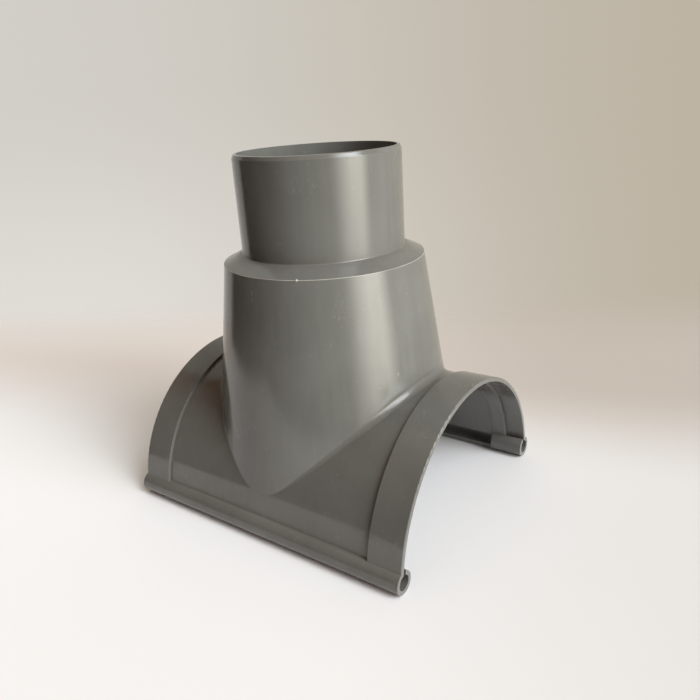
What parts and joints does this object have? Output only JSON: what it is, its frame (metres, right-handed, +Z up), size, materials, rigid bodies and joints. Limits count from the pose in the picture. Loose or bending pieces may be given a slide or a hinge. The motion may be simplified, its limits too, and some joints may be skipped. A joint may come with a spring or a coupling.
{
  "type": "gutter outlet",
  "caption": "Running outlet for a half-round rain gutter: a saddle with end sockets and rolled beads, and a cone that leads to a round spigot for a downpipe.",
  "frame": {"origin": "on the bench that the two beads stand on, below the centre of the spigot", "axes": "+Z up along the spigot's axis, +X along the gutter, +Y across it from bead to bead"},
  "size_m": [0.162, 0.143, 0.175],
  "materials": {
    "grey_plastic": "moulded, semi-gloss"
  },
  "bodies": {
    "root": {"gutter_outlet": "grey_plastic"}
  },
  "joints": []
}
